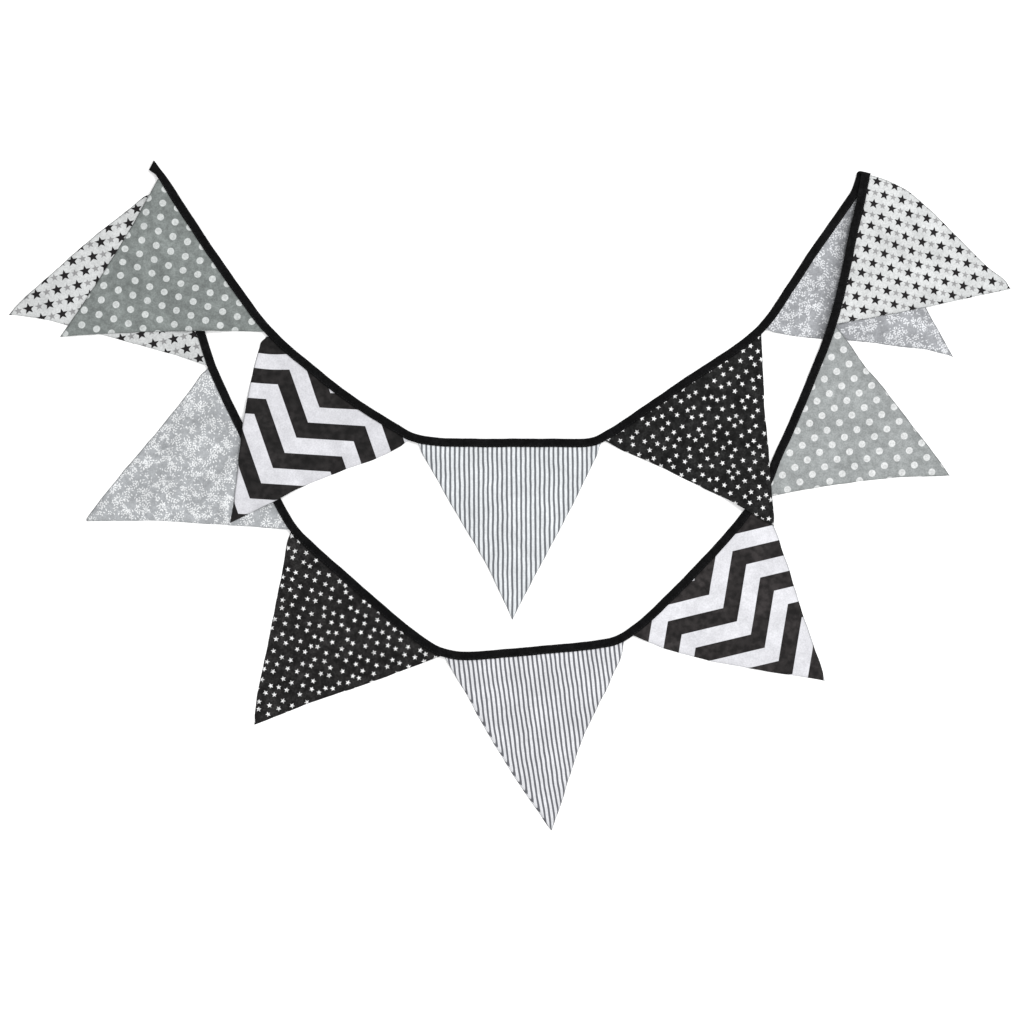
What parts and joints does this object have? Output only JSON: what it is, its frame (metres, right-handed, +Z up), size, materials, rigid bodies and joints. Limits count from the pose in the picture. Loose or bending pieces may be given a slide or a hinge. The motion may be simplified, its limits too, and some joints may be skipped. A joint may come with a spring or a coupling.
{
  "type": "bunting",
  "caption": "Pennant bunting of printed cotton triangles on one folded black binding, laid on a surface in two swags with a flat fold at one side.",
  "frame": {"origin": "on the surface that the bunting lies on, under the middle of its box", "axes": "+X along the swags from the tape's cut end to its fold, +Y across the surface towards the tape's ends, +Z up"},
  "size_m": [1.002, 0.6688, 0.0079],
  "materials": {
    "binding": "black twill binding, matt, topstitched",
    "cotton_dots": "grey cotton with white dots",
    "cotton_chevron": "black and white chevron cotton",
    "cotton_stripe": "white cotton with fine grey stripes",
    "cotton_stars": "black cotton with small white stars",
    "cotton_leaves": "grey cotton with white leaf sprigs",
    "cotton_two_stars": "white cotton with black and grey stars"
  },
  "bodies": {
    "root": {"tape": "binding", "flag_01_dots": "cotton_dots", "flag_02_chevron": "cotton_chevron", "flag_03_stripe": "cotton_stripe", "flag_04_stars": "cotton_stars", "flag_05_leaves": "cotton_leaves", "flag_06_two_stars": "cotton_two_stars", "flag_07_dots": "cotton_dots", "flag_08_chevron": "cotton_chevron", "flag_09_stripe": "cotton_stripe", "flag_10_stars": "cotton_stars", "flag_11_leaves": "cotton_leaves", "flag_12_two_stars": "cotton_two_stars"}
  },
  "joints": []
}
